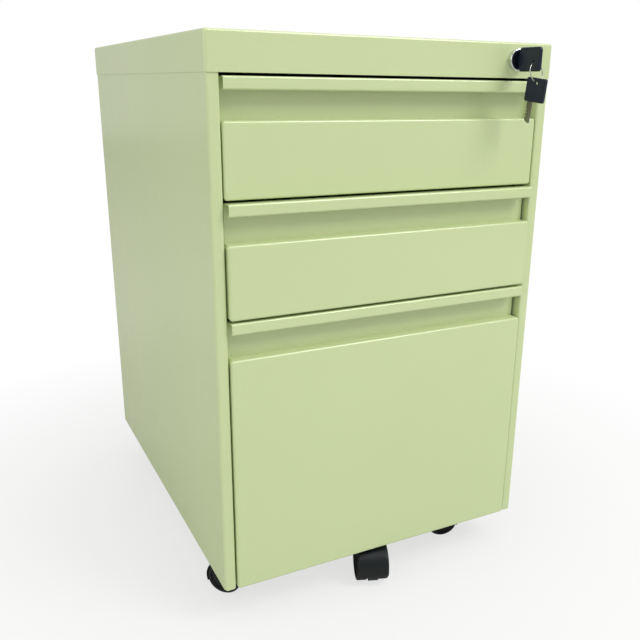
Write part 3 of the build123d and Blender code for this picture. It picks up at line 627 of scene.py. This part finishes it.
class PEDESTAL_OT_grip_borders(Operator):
    """Raises a narrow border on both faces of the key grips"""

    bl_idname = "pedestal.grip_borders"
    bl_label = "Key grip borders"

    def execute(self, context):
        sizes = context.scene.pedestal_fittings
        low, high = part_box("key_bow")
        middle = Vector(((low.x + high.x) / 2, low.y + sizes.grip_length / 2, (low.z + high.z) / 2))
        grip_border("key_grip_border", "lock_cylinder", Matrix.Translation(middle),
                    sizes.grip_length, sizes.grip_corner, sizes)
        low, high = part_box("spare_key_bow")
        yaw = Matrix.Rotation(sizes.spare_grip_yaw, 4, "Z")
        lean = Matrix.Rotation(sizes.spare_grip_lean, 4, "X")
        place = Matrix.Translation((low + high) / 2) @ (yaw @ lean)
        grip_border("spare_key_grip_border", "spare_key", place,
                    sizes.spare_grip_width, sizes.spare_grip_corner, sizes)
        return {"FINISHED"}


def rounded_outline(width, height, corner, steps=6):
    """Points of a rounded rectangle about the origin, anticlockwise."""
    points = []
    for sx, sy, start in ((1, 1, 0), (-1, 1, 90), (-1, -1, 180), (1, -1, 270)):
        for k in range(steps + 1):
            angle = math.radians(start + 90 * k / steps)
            points.append((sx * (width / 2 - corner) + corner * math.cos(angle),
                           sy * (height / 2 - corner) + corner * math.sin(angle)))
    return points


def grip_border(name, body, place, width, grip_corner, sizes):
    """A soft-edged raised band on both faces of a grip, made in the YZ plane and then placed."""
    work = bmesh.new()
    inset, band, stand = sizes.border_inset, sizes.border_width, sizes.border_height
    for side in SIDES:
        rows = []
        for across, up in BORDER_SECTION:
            gone = inset + band * across
            corner = max(LEAST_CORNER, grip_corner - gone)
            outline = rounded_outline(width - 2 * gone, sizes.grip_height - 2 * gone, corner)
            x = side * (sizes.grip_thickness / 2 + stand * up)
            rows.append([work.verts.new((x, y, z)) for y, z in outline])
        count = len(rows[0])
        for near, far in zip(rows, rows[1:] + rows[:1]):
            for i in range(count):
                j = (i + 1) % count
                work.faces.new((near[i], near[j], far[j], far[i])).smooth = True
    work.transform(place)
    piece_from(name, mesh_from(work, name), body, finish("satin_black_moulded_abs"))


class PEDESTAL_OT_stage(Operator):
    """Sets the floor, the lamps, the world and the camera"""

    bl_idname = "pedestal.stage"
    bl_label = "Stage"

    def execute(self, context):
        setting = context.scene.pedestal_stage
        scene = context.scene
        lay_floor(setting)
        light_world(scene, setting)
        lamp("key_lamp", *KEY_LAMP, setting.key_power)
        lamp("fill_lamp", *FILL_LAMP, setting.fill_power)
        lamp("top_lamp", *TOP_LAMP, setting.top_power)
        set_camera(scene, setting)
        scene.view_settings.view_transform = "Standard"
        return {"FINISHED"}


def lamp(name, place, size, power):
    """A large square lamp that faces the object."""
    data = bpy.data.lights.new(name, "AREA")
    data.shape = "SQUARE"
    data.size = size
    data.energy = power
    holder = bpy.data.objects.new(name, data)
    holder.location = place
    holder.rotation_euler = (LAMP_TARGET - Vector(place)).to_track_quat("-Z", "Y").to_euler()
    bpy.context.scene.collection.objects.link(holder)


def lay_floor(setting):
    """A pale floor that keeps the shadow near the object and runs out to plain white."""
    half = setting.floor_size / 2
    work = bmesh.new()
    corners = ((-half, -half), (half, -half), (half, half), (-half, half))
    work.faces.new([work.verts.new((x, y, 0)) for x, y in corners])
    data = bpy.data.meshes.new("floor")
    work.to_mesh(data)
    work.free()
    floor = bpy.data.objects.new("floor", data)
    bpy.context.scene.collection.objects.link(floor)
    material = bpy.data.materials.new("matt_white_floor")
    material.use_nodes = True
    tree = material.node_tree
    tree.nodes.clear()
    matt = add_node(tree, "ShaderNodeBsdfDiffuse", {"Color": setting.floor_colour})
    white = add_node(tree, "ShaderNodeEmission", {"Color": (1, 1, 1, 1), "Strength": 1.0})
    place = add_node(tree, "ShaderNodeTexCoord").outputs["Object"]
    away = add_node(tree, "ShaderNodeVectorMath", {0: place}, operation="LENGTH").outputs["Value"]
    fade = add_node(tree, "ShaderNodeMapRange", {
        "Value": away, "From Min": FADE_START, "From Max": FADE_END, "To Min": WHITE_NEAR, "To Max": 1.0})
    seen = add_node(tree, "ShaderNodeLightPath").outputs["Is Camera Ray"]
    share = add_node(tree, "ShaderNodeMath", {0: fade.outputs["Result"], 1: seen}, operation="MULTIPLY")
    mix = add_node(tree, "ShaderNodeMixShader", {0: share.outputs["Value"], 1: matt.outputs["BSDF"],
                                                 2: white.outputs["Emission"]})
    add_node(tree, "ShaderNodeOutputMaterial", {"Surface": mix.outputs["Shader"]})
    data.materials.append(material)


def light_world(scene, setting):
    """Even light from all round, with plain white where the camera looks past the floor."""
    world = bpy.data.worlds.new("studio")
    scene.world = world
    world.use_nodes = True
    tree = world.node_tree
    tree.nodes.clear()
    seen = add_node(tree, "ShaderNodeLightPath").outputs["Is Camera Ray"]
    soft = add_node(tree, "ShaderNodeBackground", {"Color": (1, 1, 1, 1), "Strength": setting.ambient})
    white = add_node(tree, "ShaderNodeBackground", {"Color": (1, 1, 1, 1), "Strength": 1.0})
    mix = add_node(tree, "ShaderNodeMixShader", {0: seen, 1: soft.outputs["Background"],
                                                 2: white.outputs["Background"]})
    add_node(tree, "ShaderNodeOutputWorld", {"Surface": mix.outputs["Shader"]})


def set_camera(scene, setting):
    """The camera at the photograph's viewing angle."""
    data = bpy.data.cameras.new("camera")
    data.sensor_width = SENSOR_WIDTH
    data.lens = setting.lens
    data.shift_x, data.shift_y = CAMERA_SHIFT
    data.clip_end = CLIP_END
    holder = bpy.data.objects.new("camera", data)
    holder.location = CAMERA_PLACE
    holder.rotation_euler = [math.radians(angle) for angle in CAMERA_ANGLES]
    scene.collection.objects.link(holder)
    scene.camera = holder


class PEDESTAL_PT_panel(Panel):
    """Lists the steps that dress the pedestal"""

    bl_idname = "PEDESTAL_PT_panel"
    bl_label = "Pedestal"
    bl_space_type = "VIEW_3D"
    bl_region_type = "UI"
    bl_category = "Pedestal"

    def draw(self, context):
        layout = self.layout
        for group in ("pedestal_finishes", "pedestal_fittings", "pedestal_stage"):
            settings = getattr(context.scene, group)
            box = layout.box()
            for key in settings.bl_rna.properties.keys():
                if key not in ("rna_type", "name"):
                    box.prop(settings, key)
        for step in STEPS:
            layout.operator(step.bl_idname)


STEPS = (
    PEDESTAL_OT_sheet_metal,
    PEDESTAL_OT_metal_fittings,
    PEDESTAL_OT_mouldings,
    PEDESTAL_OT_tray_rivets,
    PEDESTAL_OT_back_rivets,
    PEDESTAL_OT_castor_screws,
    PEDESTAL_OT_wheel_ribs,
    PEDESTAL_OT_grip_borders,
    PEDESTAL_OT_stage,
)
GROUPS = {
    "pedestal_finishes": PedestalFinishes,
    "pedestal_fittings": PedestalFittings,
    "pedestal_stage": PedestalStage,
}


def register():
    """Registers the settings, the steps and the panel."""
    for name, group in GROUPS.items():
        bpy.utils.register_class(group)
        setattr(bpy.types.Scene, name, PointerProperty(type=group))
    for step in STEPS:
        bpy.utils.register_class(step)
    bpy.utils.register_class(PEDESTAL_PT_panel)


def unregister():
    """Removes what register added."""
    bpy.utils.unregister_class(PEDESTAL_PT_panel)
    for step in reversed(STEPS):
        bpy.utils.unregister_class(step)
    for name, group in GROUPS.items():
        delattr(bpy.types.Scene, name)
        bpy.utils.unregister_class(group)


def main():
    """Runs every step."""
    register()
    for step in STEPS:
        area, action = step.bl_idname.split(".")
        if getattr(getattr(bpy.ops, area), action)() != {"FINISHED"}:
            raise RuntimeError(f"{step.bl_idname} did not finish")


if __name__ == "__main__":
    main()
